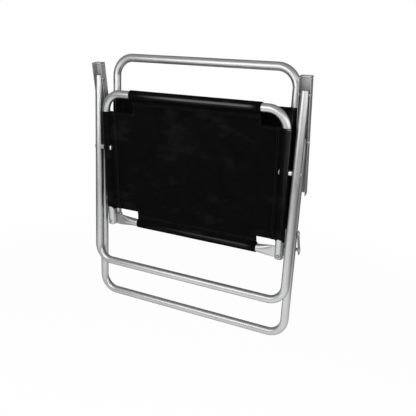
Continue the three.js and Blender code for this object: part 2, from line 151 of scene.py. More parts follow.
# aluminium tube: drawn lines along it, cloudy oxide and scuffs. Its attribute "straight" holds each point's place
# on the unbent tube
tubeLook = {"bright": 0.76, "dull": 0.66, "scuffed": 0.36, "scuffing": 0.35, "roughness": 0.35, "limb": 0.12,
            "line": 1.1 * mm, "lineDepth": 0.004 * mm, "patch": 20 * mm, "scuff": 4 * mm}

def tubeMaterial():
    look, f = tubeLook, Finish("satinTube")
    drawn = lambda squeeze: f.place(scale=(1, 1, squeeze), attribute="straight")
    lines = f.cloud(drawn(0.012), look["line"], detail=4, rough=0.7)
    patches = f.cloud(drawn(0.25), look["patch"], detail=5, rough=0.6)
    scuffs = f.between(f.cloud(drawn(0.1), look["scuff"], detail=6, rough=0.75), 0.62, 0.72)
    tone = f.between(patches * 0.6 + lines * 0.4, 0.3, 0.7)
    color = f.blendColor(tone, grey(look["dull"], 0.006), grey(look["bright"], 0.004))
    cloudy = f.between(patches, 0.25, 0.8, look["roughness"] - 0.03, look["roughness"] + 0.06)
    f.set(color=f.blendColor(scuffs * look["scuffing"], color, grey(look["scuffed"])), metallic=1.0,
          roughness=cloudy + scuffs * 0.1, normal=f.bump(lines, look["lineDepth"], 0.4),
          limb=grey(look["limb"]))
    return f.material


# rolled sheet of the armrests and links; its pattern is turned by the tilt, in degrees, to run along the piece.
# wear sets how strongly the painted shade and painted highlight at the cut end are laid on
plateLook = {"bright": 0.66, "dull": 0.57, "roughness": 0.52, "limb": 0.6, "line": 1.6 * mm,
             "lineDepth": 0.006 * mm, "patch": 30 * mm, "rim": 2.6 * mm, "rimShadeTone": 0.22, "highlightStrip": 0.9,
             "wear": 0.8}

def plateMaterial(name, tilt, end=None):
    # end: height of the cut end in the tilted frame. Below it the colour is painted light: painted shade on the
    # rim, a painted highlight on the next strip, then a fainter painted shade
    look, f = plateLook, Finish(name)
    turn = (-math.radians(tilt), 0, 0)
    lines = f.cloud(f.place(scale=(1, 1, 0.02), turn=turn), look["line"], detail=4, rough=0.7)
    patches = f.cloud(f.place(scale=(1, 1, 0.4), turn=turn), look["patch"], detail=5, rough=0.6)
    tone = f.between(patches * 0.5 + lines * 0.5, 0.3, 0.7)
    color = f.blendColor(tone, grey(look["dull"], 0.006), grey(look["bright"], 0.004))
    if end is not None:
        below = end - f.part(f.place(turn=turn), "Z")
        rims = lambda *shares: [share * look["rim"] for share in shares]
        highlightStrip = f.band(below, *rims(0.7, 1.2, 1.8, 2.3))
        faint = f.band(below, *rims(1.9, 2.4, 2.6, 3.4)) * 0.6
        shadedRim = f.between(below, *rims(1.0, 0.6)).math("MAXIMUM", faint)
        # painted highlight and painted shade, laid in bands below the end
        color = f.blendColor(highlightStrip * look["wear"], color, grey(look["highlightStrip"]))
        color = f.blendColor(shadedRim * look["wear"], color, grey(look["rimShadeTone"]))
    f.set(color=color, metallic=1.0, limb=grey(look["limb"]), normal=f.bump(lines, look["lineDepth"], 0.4),
          roughness=f.between(patches, 0.25, 0.8, look["roughness"] - 0.05, look["roughness"] + 0.1))
    return f.material


# zinc plate on the rivets: fine crystals under grime
zincLook = {"crystal": 2.8 * mm, "crystalDepth": 0.04 * mm, "grime": 6 * mm, "grimeTone": 0.25,
            "roughness": (0.2, 0.36)}

def zincMaterial(name, tone, grimy):
    look, f = zincLook, Finish(name)
    crystals = f.cloud(f.place(), look["crystal"], detail=4, rough=0.6)
    grime = f.between(f.cloud(f.place(), look["grime"], detail=5, rough=0.7), 0.56, 0.7)
    plated = f.blendColor(crystals, grey(0.85 * tone), grey(tone))
    f.set(color=f.blendColor(grime * grimy, plated, grey(look["grimeTone"])), metallic=1.0,
          roughness=f.between(crystals, 0.2, 0.8, *look["roughness"]),
          normal=f.bump(crystals, look["crystalDepth"], 0.5))
    return f.material


# moulded end caps, duller where they are worn
capLook = {"fresh": 0.5, "worn": 0.4, "grain": 0.6 * mm, "grainDepth": 0.05 * mm, "wear": 7 * mm,
           "roughness": (0.48, 0.66)}

def capMaterial():
    look, f = capLook, Finish("greyCap")
    grain = f.cloud(f.place(), look["grain"], detail=3)
    wear = f.between(f.cloud(f.place(), look["wear"], detail=5, rough=0.65), 0.5, 0.75)
    f.set(color=f.blendColor(wear, grey(look["fresh"]), grey(look["worn"])),
          roughness=f.between(wear, 0, 1, *look["roughness"]), normal=f.bump(grain, look["grainDepth"], 0.4))
    return f.material


# black sling cloth: two sets of round yarns on the cloth's own flat coordinates ("flat", metres), dust, faint
# grey smudges, and a glossy coat along the sleeves, held in an attribute: partly the real polish where the cloth
# is drawn tight over a tube, partly painted sheen laid where the lamps' reflection falls
slingLook = {"yarn": 1.1 * mm, "yarnDepth": 0.18 * mm, "slub": 1.6 * mm, "dust": 35 * mm, "black": 0.0025,
             "grey": 0.0052, "smudge": 0.0078, "smudgeSize": 60 * mm, "smudgeStretch": (0.7, 1, 1.5),
             "smudgeShift": (0, 0, -162 * mm), "roughness": 0.58, "shine": 0.012, "sheenWeight": 0.85,
             "sheenCoatRoughness": 0.15, "sheenCoatIndex": 1.8}

def slingMaterial():
    look, f = slingLook, Finish("blackSling")
    flat = f.node("Attribute", {"attribute_name": "flat"}, output=1)
    across, down = f.part(flat, "X"), f.part(flat, "Y")
    turns = 2 * math.pi / look["yarn"]
    warp, weft = ((way * turns).math("SINE") for way in (across, down))
    weave = (across * (turns / 2)).math("SINE") * (down * (turns / 2)).math("SINE")
    warpOnTop = f.between(weave, -0.25, 0.25)
    yarns = warpOnTop * (warp * 0.5 + 0.5) + (1 - warpOnTop) * (weft * 0.5 + 0.5)
    dust = f.cloud(f.place(), look["dust"], detail=6, rough=0.65)
    slubs = f.cloud(f.place(scale=(1, 0.06, 1), attribute="flat"), look["slub"], detail=3)
    tone = f.between(dust * 0.55 + slubs * 0.25 + yarns * 0.2, 0.3, 0.75)
    patches = f.cloud(f.place(scale=look["smudgeStretch"], shift=look["smudgeShift"]), look["smudgeSize"],
                      detail=3, rough=0.55)
    plain = f.blendColor(tone, grey(look["black"]), grey(look["grey"]))
    # the coat is partly painted sheen: its weight follows where the lamps' reflection falls on the sleeves
    polishAndSheen = f.node("Attribute", {"attribute_name": "polishAndSheen"}, output=2)
    f.set(color=f.blendColor(f.between(patches, 0.52, 0.7), plain, grey(look["smudge"])),
          roughness=f.between(dust, 0.3, 0.8, look["roughness"] - 0.06, look["roughness"] + 0.14),
          normal=f.bump(yarns, look["yarnDepth"], 0.2), specular=look["shine"],
          coat=polishAndSheen * (look["sheenWeight"] + dust * 0.2), coatRoughness=look["sheenCoatRoughness"],
          coatIndex=look["sheenCoatIndex"])
    return f.material


threadLook = {"dark": 0.012, "light": 0.022, "twist": 0.8 * mm, "roughness": (0.45, 0.6)}

def threadMaterial():
    look, f = threadLook, Finish("blackThread")
    twist = f.cloud(f.place(), look["twist"], detail=2)
    f.set(color=f.blendColor(twist, grey(look["dark"]), grey(look["light"])),
          roughness=f.between(twist, 0.2, 0.8, *look["roughness"]))
    return f.material


armTilt, linkTilt = 11.31, 25.11  # degrees
satinTube = tubeMaterial()
channelSheet = plateMaterial("channelSheet", armTilt, end=-8.9 * mm)
linkSheet = plateMaterial("linkSheet", linkTilt)
brightZinc = zincMaterial("brightZinc", tone=0.92, grimy=0.3)
# darker zinc with heavier grime; on the front arm rivets this dark tone is painted shade for the tube's shadow
# over their heads
darkZinc = zincMaterial("darkZinc", tone=0.5, grimy=0.8)
greyCap = capMaterial()
blackSling = slingMaterial()
blackThread = threadMaterial()
print("materials made")


# members: each has a pivot and a tilt, and its own -Z runs down it

def member(y, z, tilt):
    return Matrix.Translation((0, y * mm, z * mm)) @ Matrix.Rotation(math.radians(tilt), 4, "X")

members = {
    "back": member(5.776, -302.645, 1.0933),
    "armrests": member(-40.508, -61.030, armTilt),
    "seat": member(-40.508, -251.830, 5.6),
    "front_leg": member(-40.508, -61.030, 0),
    "rear_leg": member(-17.758, -174.777, 0.51),
    "links": member(8.836, -463.023, linkTilt),
}


def newPiece(name, bm, body, material, replaces=(), sharp=40):
    # takes a bmesh in its member's own frame; sharp is the angle past which edges stay sharp, or 0
    bmesh.ops.transform(bm, matrix=members[body], verts=bm.verts)
    mesh = bpy.data.meshes.new(name)
    bm.edges.index_update()
    rims = [e.index for e in bm.edges if e.is_boundary]
    bm.to_mesh(mesh)
    bm.free()
    mesh.shade_smooth()
    if sharp:
        mesh.set_sharp_from_angle(angle=math.radians(sharp))
        for i in rims:
            mesh.edges[i].use_edge_sharp = True
    piece = bpy.data.objects.new(name, mesh)
    scene.collection.objects.link(piece)
    mesh.materials.append(material)
    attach(piece, body)
    if replaces:
        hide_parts(*replaces)
    return piece


def giveWall(piece, thickness, offset=-1):
    wall = piece.modifiers.new("wall", "SOLIDIFY")
    wall.thickness = thickness
    wall.offset = offset
    wall.use_even_offset = True


def softEdges(piece, width, segments, angle):
    edge = piece.modifiers.new("edge", "BEVEL")
    edge.width = width
    edge.segments = segments
    edge.limit_method = "ANGLE"
    edge.angle_limit = math.radians(angle)


def vertsIn(geom):
    return [g for g in geom if isinstance(g, bmesh.types.BMVert)]


def edgesIn(geom):
    return [g for g in geom if isinstance(g, bmesh.types.BMEdge)]


def extruded(bm, edges):
    made = bmesh.ops.extrude_edge_only(bm, edges=edges)["geom"]
    return vertsIn(made), edgesIn(made)


def addTo(bm, other):
    # joins another bmesh to this one and frees it
    spare = bpy.data.meshes.new("spare")
    other.to_mesh(spare)
    other.free()
    bm.from_mesh(spare)
    bpy.data.meshes.remove(spare)


def pairOf(name, make, body, material, node, finish=None, sharp=40):
    # the right piece and its mirror image, each in place of the node on its side
    right = make()
    left = right.copy()
    bmesh.ops.scale(left, vec=(-1, 1, 1), verts=left.verts)
    bmesh.ops.reverse_faces(left, faces=left.faces)
    for side, bm in (("Right", right), ("Left", left)):
        piece = newPiece(name + side, bm, body, material, [f"{node}_{side.lower()}"], sharp)
        if finish:
            finish(piece)


def ramp(share):
    # eases from 0 to 1
    share = min(1, max(0, share))
    return share * share * (3 - 2 * share)


# bent tubes
tube = {"radius": 11 * mm, "wall": 1.2 * mm, "sides": 40, "bendSteps": 18, "runStep": 30 * mm}
legs = {"halfWidth": 297 * mm, "bend": 46 * mm, "top": 9 * mm, "frontDrop": 537.6 * mm, "rearDrop": 532.3 * mm}
back = {"halfWidth": 265 * mm, "bend": 52 * mm, "above": 302.7 * mm, "below": 167.4 * mm}
seat = {"halfWidth": 265 * mm, "bend": 50 * mm, "above": 154.5 * mm, "below": 235 * mm}


def tubeRing(bm):
    straight = bm.verts.layers.float_vector.new("straight")
    return straight, bmesh.ops.create_circle(bm, segments=tube["sides"], radius=tube["radius"])["verts"]


def uTube(shape, bar, end):
    # from the left end over the bar to the right end; the ring carries its place round the tube
    halfWidth, bend = shape["halfWidth"], shape["bend"]
    halfBar = halfWidth - bend
    way = 1 if bar > end else -1
    corner = bar - way * bend
    bm = bmesh.new()
    straight, ring = tubeRing(bm)
    for v in ring:
        v[straight] = v.co.copy()
    bmesh.ops.translate(bm, vec=(-halfWidth, 0, end), verts=ring)

    def run(edges, move):
        steps = max(1, round(move.length / tube["runStep"]))
        for _ in range(steps):
            verts, edges = extruded(bm, edges)
            bmesh.ops.translate(bm, vec=move / steps, verts=verts)
        return edges

    def turn(edges, centre):
        made = bmesh.ops.spin(bm, geom=edges, cent=centre, axis=(0, 1, 0), angle=way * quarter,
                              steps=tube["bendSteps"], use_merge=False, use_duplicate=False)
        return edgesIn(made["geom_last"])

    edges = run(list(bm.edges), Vector((0, 0, corner - end)))
    edges = turn(edges, (-halfBar, 0, corner))
    edges = run(edges, Vector((2 * halfBar, 0, 0)))
    edges = turn(edges, (halfBar, 0, corner))
    run(edges, Vector((0, 0, end - corner)))
    bmesh.ops.recalc_face_normals(bm, faces=bm.faces)

    for v in bm.verts:  # how far along the unbent tube
        x, up = abs(v.co.x), way * (v.co.z - corner)
        if up < 0:
            along = halfBar + bend * quarter - up
        elif x < halfBar:
            along = x
        else:
            along = halfBar + bend * math.atan2(x - halfBar, up)
        v[straight] = Vector((v[straight].x, v[straight].y, math.copysign(along, v.co.x)))
    return bm


def tubePiece(name, bm, body, node):
    piece = newPiece(name, bm, body, satinTube, replaces=[node], sharp=60)
    giveWall(piece, tube["wall"])


tubePiece("backTube", uTube(back, back["above"], -back["below"]), "back", "back_frame")
tubePiece("seatTube", uTube(seat, seat["above"], -seat["below"]), "seat", "seat_frame")
tubePiece("frontLegTube", uTube(legs, -legs["frontDrop"], legs["top"]), "front_leg", "front_leg")
tubePiece("rearLegTube", uTube(legs, -legs["rearDrop"], legs["top"]), "rear_leg", "rear_leg")
print("tubes bent")


# crossbar: round in the middle, pressed flat at the ends, ears turned up for the rear pins
crossbar = {"along": 225.5 * mm, "rise": 12.8 * mm, "flareStart": 188 * mm, "flareEnd": 252 * mm,
            "lateness": 1.8, "flatHalf": 1.5 * mm, "flatHeight": 16.4 * mm, "flatBow": 0.3, "flatEnd": 258 * mm,
            "earMiddle": 278.8 * mm, "earBend": 4 * mm, "earSlope": 16.8 * mm, "earRound": 8.9 * mm,
            "earNeck": (20 * mm, 23.5 * mm, 27 * mm), "pinRise": 28.5 * mm,
            "roundSteps": 6, "flareSteps": 16, "earBendSteps": 6, "earRoundSteps": 8}


def crossbarSections():
    # place, turn, flatness, half height and shift of each section, from the middle out and up the ear.
    # Above the ear's bend the place is a rise and the turn is None
    c = crossbar
    sections = [(i * c["flareStart"] / c["roundSteps"], 0, 0, tube["radius"], 0)
                for i in range(1, c["roundSteps"] + 1)]
    for i in range(1, c["flareSteps"] + 1):  # it spreads first and is pressed flat late
        share = i / c["flareSteps"]
        place = c["flareStart"] + share * (c["flareEnd"] - c["flareStart"])
        tall = tube["radius"] + ramp(share) * (c["flatHeight"] - tube["radius"])
        sections.append((place, 0, ramp(share ** c["lateness"]), tall, 0))
    sections.append((c["flatEnd"], 0, 1, c["flatHeight"], 0))
    for i in range(c["earBendSteps"] + 1):
        turn = i / c["earBendSteps"] * quarter
        sections.append((c["earMiddle"] - c["earBend"] * (1 - math.sin(turn)), turn, 1, c["flatHeight"], 0))
    front = c["along"] - c["flatHeight"]
    for rise in c["earNeck"]:  # the ear's rear edge slopes in
        rear = c["along"] + c["flatHeight"] - (rise - c["earSlope"])
        sections.append((rise, None, 1, (rear - front) / 2, (rear + front) / 2 - c["along"]))
    for i in range(1, c["earRoundSteps"]):
        angle = i / c["earRoundSteps"] * quarter
        sections.append((c["pinRise"] + c["earRound"] * math.sin(angle), None, 1,
                         c["earRound"] * math.cos(angle), front + c["earRound"] - c["along"]))
    return sections


def pressedBar():
    c = crossbar
    bm = bmesh.new()
    straight, ring = tubeRing(bm)
    bmesh.ops.rotate(bm, cent=(0, 0, 0), matrix=Matrix.Rotation(quarter, 3, "Y"), verts=ring)
    for v in ring:
        v[straight] = Vector((v.co.y, v.co.z, 0))
    bmesh.ops.translate(bm, vec=(0, c["rise"], 0), verts=ring)
    edges = list(bm.edges)
    travelled, last = 0, Vector((0, c["rise"], 0))
    for place, turn, flat, tall, shift in crossbarSections():
        verts, edges = extruded(bm, edges)
        if turn is None:
            here, turn = Vector((c["earMiddle"], place, 0)), quarter
        else:
            here = Vector((place, c["rise"] + c["earBend"] * (1 - math.cos(turn)), 0))
        travelled += (here - last).length
        last = here
        thick = tube["radius"] + flat * (c["flatHalf"] - tube["radius"])
        bow = 1 + flat * (c["flatBow"] - 1)
        for v in verts:
            around = math.atan2(v[straight].x, v[straight].y)
            side = math.sin(around)
            rise = thick * math.copysign(abs(side) ** bow, side)
            v.co = here + Vector((-rise * math.sin(turn), rise * math.cos(turn),
                                  tall * math.cos(around) - shift))
            v[straight] = Vector((v[straight].x, v[straight].y, travelled))
    bmesh.ops.holes_fill(bm, edges=edges, sides=0)
    mirror = bm.copy()
    bmesh.ops.scale(mirror, vec=(-1, 1, 1), verts=mirror.verts)
    addTo(bm, mirror)
    bmesh.ops.remove_doubles(bm, verts=bm.verts, dist=1e-5)
    bmesh.ops.recalc_face_normals(bm, faces=bm.faces)
    bmesh.ops.translate(bm, vec=(0, 0, -c["along"]), verts=bm.verts)
    return bm


newPiece("pressedCrossbar", pressedBar(), "seat", satinTube, replaces=["seat_crossbar"], sharp=50)
print("crossbar pressed")


# armrest channels, rolled from sheet
channel = {"halfWidth": 15 * mm, "back": 17 * mm, "front": -6 * mm, "corner": 4.5 * mm, "sheet": 1.6 * mm,
           "edge": 0.35 * mm, "ahead": 43 * mm, "length": 301 * mm, "flatSteps": 3, "cornerSteps": 8,
           "lengthSteps": 12}


def armChannel():
    # one flange, the web and the other flange are drawn as a line, which is then run along the arm
    c = channel
    bm = bmesh.new()
    tip = [bm.verts.new((-c["halfWidth"], c["front"], 0))]

    def go(x, y):
        move = (Vector((x, y, 0)) - tip[0].co) / c["flatSteps"]
        for _ in range(c["flatSteps"]):
            tip[:] = bmesh.ops.extrude_vert_indiv(bm, verts=tip)["verts"]
            bmesh.ops.translate(bm, vec=move, verts=tip)

    def corner(x, y):
        made = bmesh.ops.spin(bm, geom=list(tip), cent=(x, y, 0), axis=(0, 0, 1), angle=-quarter,
                              steps=c["cornerSteps"])
        tip[:] = vertsIn(made["geom_last"])

    inner, shoulder = c["halfWidth"] - c["corner"], c["back"] - c["corner"]
    go(-c["halfWidth"], shoulder)
    corner(-inner, shoulder)
    go(inner, c["back"])
    corner(inner, shoulder)
    go(c["halfWidth"], c["front"])
    edges = list(bm.edges)
    for _ in range(c["lengthSteps"]):
        verts, edges = extruded(bm, edges)
        bmesh.ops.translate(bm, vec=(0, 0, c["length"] / c["lengthSteps"]), verts=verts)
    bmesh.ops.translate(bm, vec=(legs["halfWidth"], 0, c["ahead"] - c["length"]), verts=bm.verts)
    bmesh.ops.recalc_face_normals(bm, faces=bm.faces)
    web = [f for f in bm.faces if f.calc_center_median().y > c["back"] - nearly]
    if sum(f.normal.y for f in web) < 0:
        bmesh.ops.reverse_faces(bm, faces=bm.faces)
    return bm


def channelFinish(piece):
    giveWall(piece, channel["sheet"])
    softEdges(piece, channel["edge"], 2, 50)


pairOf("armrestChannel", armChannel, "armrests", channelSheet, "armrest", channelFinish, sharp=50)
print("armrests rolled")


link = {"inside": 309 * mm, "outside": 311.5 * mm, "halfWidth": 7.5 * mm, "tail": 16 * mm, "length": 57.7 * mm,
        "sides": 40, "edge": 0.5 * mm}


def linkPlate():
    # a disc at each end and the hull round both
    bm = bmesh.new()
    middle, thick = (link["inside"] + link["outside"]) / 2, link["outside"] - link["inside"]
    for z in (link["halfWidth"] - link["tail"], link["length"]):
        bmesh.ops.create_cone(bm, cap_ends=True, segments=link["sides"], radius1=link["halfWidth"],
                              radius2=link["halfWidth"], depth=thick,
                              matrix=Matrix.Translation((middle, 0, z)) @ Matrix.Rotation(quarter, 4, "Y"))
    hull = bmesh.ops.convex_hull(bm, input=bm.verts)
    spare = vertsIn(hull["geom_interior"] + hull["geom_unused"])
    inside = [f for f in bm.faces if f not in hull["geom"]]
    bmesh.ops.delete(bm, geom=inside, context="FACES_ONLY")
    bmesh.ops.delete(bm, geom=spare, context="VERTS")
    bmesh.ops.delete(bm, geom=[e for e in bm.edges if not e.link_faces], context="EDGES")
    bmesh.ops.dissolve_limit(bm, angle_limit=math.radians(1), verts=bm.verts, edges=bm.edges)
    bmesh.ops.recalc_face_normals(bm, faces=bm.faces)
    return bm


pairOf("linkPlate", linkPlate, "links", linkSheet, "link",
       lambda piece: softEdges(piece, link["edge"], 3, 40), sharp=50)


# rivets, pins, spacers and washers, all turned on the X axis
rivetSize = {"shank": 3 * mm, "head": 5.2 * mm, "high": 2.4 * mm, "chamfer": 0.25 * mm, "foot": 0.2 * mm,
             "brim": 0.55 * mm, "domeSteps": 6, "sides": 32}


def turnedOnX(profile, sides=rivetSize["sides"]):
    # a profile of (radius, x) points, spun round the X axis
    bm = bmesh.new()
    verts = [bm.verts.new((x, 0, r)) for r, x in profile]
    for a, b in zip(verts, verts[1:]):
        bm.edges.new((a, b))
    bmesh.ops.spin(bm, geom=list(bm.verts) + list(bm.edges), cent=(0, 0, 0), axis=(1, 0, 0), angle=2 * math.pi,
                   steps=sides, use_merge=True, use_duplicate=False)
    bmesh.ops.remove_doubles(bm, verts=bm.verts, dist=1e-6)
    bmesh.ops.recalc_face_normals(bm, faces=bm.faces)
    return bm


def domedHead(base, way, grow=1.0):
    r = rivetSize
    head, high = r["head"] * grow, r["high"] * grow
    steps = [(r["shank"], 0), (head - r["chamfer"], 0), (head, r["foot"]), (head, r["brim"])]
    for i in range(1, r["domeSteps"] + 1):
        angle = i / r["domeSteps"] * quarter
        steps.append((head * math.cos(angle), r["brim"] + (high - r["brim"]) * math.sin(angle)))
    return [(radius, base + way * up) for radius, up in steps]


# semi-tubular rivets: millimetres in from the rim and up, over the rolled head and down into its dimple
rolledRim = ((0.25, 0), (0, 0.2), (0, 0.6), (0.35, 1.4), (1.0, 2.0), (1.7, 2.2), (2.3, 2.0), (2.7, 1.3),
             (2.9, 0.4))
hollowRivet = {"front": -11.3 * mm, "rear": 14.6 * mm, "floor": 0.3 * mm, "along": 227.7 * mm}


def hollowHead(base, way):
    steps = [(rivetSize["head"] - inset * mm, up * mm) for inset, up in rolledRim]
    steps = [(rivetSize["shank"], 0)] + steps + [(0, hollowRivet["floor"])]
    return [(radius, base + way * up) for radius, up in steps]


def rivetBody(inner, outer, heads, place, grow=1.0):
    # heads: "both", or the only end that has one
    shank = rivetSize["shank"]
    low = [(shank, inner), (0, inner)] if heads == "outer" else domedHead(inner, -1, grow)
    high = [(shank, outer), (0, outer)] if heads == "inner" else domedHead(outer, 1)
    bm = turnedOnX(low[::-1] + high)
    bmesh.ops.translate(bm, vec=(0, place[0], -place[1]), verts=bm.verts)
    return bm


bore = {"radius": 3.3 * mm, "edge": 0.3 * mm}


def spacerBody(radius, start, end, place):
    inner, edge = bore["radius"], bore["edge"]
    bm = turnedOnX([(inner, start), (radius - edge, start), (radius, start + edge), (radius, end - edge),
                    (radius - edge, end), (inner, end), (inner, start)])
    bmesh.ops.translate(bm, vec=(0, place[0], -place[1]), verts=bm.verts)
    return bm


# how far out from the chair's middle each layer lies, and where each pin sits: its rise off its member's line
# and the way down it
gap = 0.3 * mm
legIn, legOut = 286 * mm, 308 * mm
channelIn, channelOut = 282 * mm, 312 * mm
clothIn, clothOut = 252.5 * mm, 277.5 * mm
atPivot = (0, 0)
middlePin = (0, 116 * mm)
backPin = (-2 * mm, 246 * mm)
rearPin = (crossbar["pinRise"], 215 * mm)

# node, body and (inner end, outer end, heads, place, growth of the inner head)
pins = {
    "frontArmRivet": ("front_arm_rivet", "armrests", (channelIn - gap, channelOut + gap, "both", atPivot)),
    "middleArmRivet": ("middle_arm_rivet", "armrests", (channelIn - gap, channelOut + gap, "both", middlePin)),
    "rearArmRivet": ("rear_arm_rivet", "armrests", (clothIn - gap, channelIn + 1.9 * mm, "both", backPin)),
    "seatPivotRivet": ("seat_pivot_rivet", "seat", (clothIn + 2 * mm, legIn - gap, "inner", atPivot, 1.75)),
    "frontLegStud": ("front_leg_stud", "front_leg", (legIn, legOut + gap, "outer", (0, 190.8 * mm))),
    "rearPin": ("rear_pin", "seat", (252.4 * mm, link["inside"] - gap, "inner", rearPin)),
    "linkPinHead": ("link_pin_head", "links", (link["inside"], link["outside"] + gap, "outer", atPivot)),
    "linkRivet": ("link_rivet", "rear_leg", (legIn - gap, link["outside"] + gap, "both", (0, 236 * mm))),
}
for name, (node, body, size) in pins.items():
    # the front arm rivets take the dark zinc as painted shade, where the tube's shadow falls on their heads
    zinc = darkZinc if name == "frontArmRivet" else brightZinc
    pairOf(name, lambda: rivetBody(*size), body, zinc, node)

# node, body and (radius, inner end, outer end, place)
spacers = {
    "backSpacer": ("back_spacer", "armrests", (5 * mm, clothOut + gap, channelIn - gap, backPin)),
    "seatPivotSpacer": ("seat_pivot_spacer", "seat", (7.2 * mm, clothOut + gap, legIn - gap, atPivot)),
    "rearPinSpacer": ("rear_pin_spacer", "seat", (5 * mm, 280.6 * mm, link["inside"] - gap, rearPin)),
    "rearPinWasher": ("rear_pin_washer", "seat", (7 * mm, 252.7 * mm, 253.7 * mm, rearPin)),
}
for name, (node, body, size) in spacers.items():
    pairOf(name, lambda: spacerBody(*size), body, brightZinc, node)


def crossbarRivet():
    # through the crossbar's flat and the seat tube, from front to rear
    bm = turnedOnX(hollowHead(hollowRivet["front"], -1)[::-1] + hollowHead(hollowRivet["rear"], 1))
    bmesh.ops.rotate(bm, cent=(0, 0, 0), matrix=Matrix.Rotation(quarter, 3, "Z"), verts=bm.verts)
    bmesh.ops.translate(bm, vec=(seat["halfWidth"], 0, -hollowRivet["along"]), verts=bm.verts)
    return bm


pairOf("crossbarRivet", crossbarRivet, "seat", darkZinc, "crossbar_rivet")


# end caps: a stem inside the tube, a lip on its rim and a crowned head
cap = {"stem": 9.2 * mm, "depth": 4 * mm, "chamfer": 0.4 * mm, "lip": 0.3 * mm, "crown": 0.85, "crownSteps": 6}


def endCap(head, z):
    stem, depth, lip, radius = cap["stem"], cap["depth"], cap["lip"], tube["radius"]
    bend = (head - lip) * cap["crown"]
    profile = [(0, -depth), (stem - cap["chamfer"], -depth), (stem, cap["chamfer"] - depth), (stem, lip),
               (radius, lip)]
    for i in range(cap["crownSteps"] + 1):
        angle = i / cap["crownSteps"] * quarter
        profile.append((radius - bend * (1 - math.cos(angle)), head - bend * (1 - math.sin(angle))))
    profile.append((0, head))
    bm = turnedOnX(profile, tube["sides"])
    bmesh.ops.rotate(bm, cent=(0, 0, 0), matrix=Matrix.Rotation(quarter, 3, "Y"), verts=bm.verts)
    bmesh.ops.translate(bm, vec=(seat["halfWidth"], 0, z), verts=bm.verts)
    return bm


pairOf("backTubeCap", lambda: endCap(1.5 * mm, -back["below"]), "back", greyCap, "back_cap")
pairOf("seatTubeCap", lambda: endCap(3 * mm, -seat["below"]), "seat", greyCap, "seat_cap")
print("rivets, pins, spacers and caps set")


# slings: a panel, and sleeves that run from its seams round the tubes and back to the seams
cloth = {"thick": 1.0 * mm, "grid": 6 * mm, "round": 11.9 * mm, "seam": 19 * mm, "flap": 9 * mm,
         "lap": 1.25 * mm, "wrap": 25, "wrapSteps": 26, "leadIn": 3.5 * mm, "leadOut": 1 * mm, "dip": 0.5 * mm,
         "nearTube": 15 * mm, "rippleAcross": 90 * mm, "rippleDown": 50 * mm}
seatCloth = {"plane": 6.4 * mm, "slack": 2.2 * mm, "ripple": 0.7 * mm, "rippleSeed": 3.1,
             "frontDrop": 4.4 * mm, "frontFrom": 84 * mm, "frontRound": 13.2 * mm,
             "rearLift": 5.5 * mm, "rearFrom": -153.5 * mm, "rearRound": 12.6 * mm,
             "corners": [(-181 * mm, 104 * mm), (198 * mm, 111 * mm),
                         (-179 * mm, -188 * mm), (197 * mm, -190 * mm)]}
backCloth = {"plane": -6.4 * mm, "slack": 3.0 * mm, "ripple": 0.8 * mm, "rippleSeed": 8.7,
             "top": 207 * mm, "bottom": -106.4 * mm}
sideSeam = seat["halfWidth"] - cloth["seam"]
frontSeam = seat["above"] - cloth["seam"]
rearSeam = -(crossbar["along"] - cloth["seam"])

# how strongly each sleeve's coat shines: partly the polish where it is drawn tight over its tube, partly painted
# sheen, stronger on the right and fading along the bars where the lamps' reflection does
sleeveSheen = {"barFrom": -175 * mm, "barRise": 155 * mm, "barTo": 188 * mm, "barFade": 26 * mm,
            "rear": 0.4, "rearFrom": -150 * mm, "rearRise": 280 * mm,
            "sideLeast": 0.12, "right": 1.5, "left": 0.3, "sideFrom": -105 * mm, "sideRise": 200 * mm,
            "back": 0.3}


def frontSheen(co):
    t = sleeveSheen
    return ramp((co.x - t["barFrom"]) / t["barRise"]) * ramp((t["barTo"] - co.x) / t["barFade"])


def rearSheen(co):
    return sleeveSheen["rear"] * frontSheen(co) * ramp((co.x - sleeveSheen["rearFrom"]) / sleeveSheen["rearRise"])


def sideSheen(co):
    t = sleeveSheen
    return t["sideLeast"] + t["right" if co.x > 0 else "left"] * ramp((co.z - t["sideFrom"]) / t["sideRise"])


def sleevePath(plane, behind, radius):
    # from the seam round the tube and back under the panel: (outward, rise) from the tube's axis.
    # behind is +1 where the panel lies on the +Y side of the axis and the flap is sewn on the -Y side
    seam, under = cloth["seam"], plane - behind * cloth["lap"]
    toSeam = math.atan2(plane * behind, -seam)
    tangent = math.acos(radius / math.hypot(seam, plane))
    first = toSeam - tangent
    last = toSeam + tangent - 2 * math.pi - math.radians(cloth["wrap"])
    path = []
    for i in range(cloth["wrapSteps"] + 1):
        angle = first + (last - first) * i / cloth["wrapSteps"]
        path.append((radius * math.cos(angle), behind * radius * math.sin(angle)))
    return path + [(-seam + cloth["leadIn"], under - behind * cloth["dip"]), (-seam - cloth["leadOut"], under),
                   (-seam - cloth["flap"], under)]


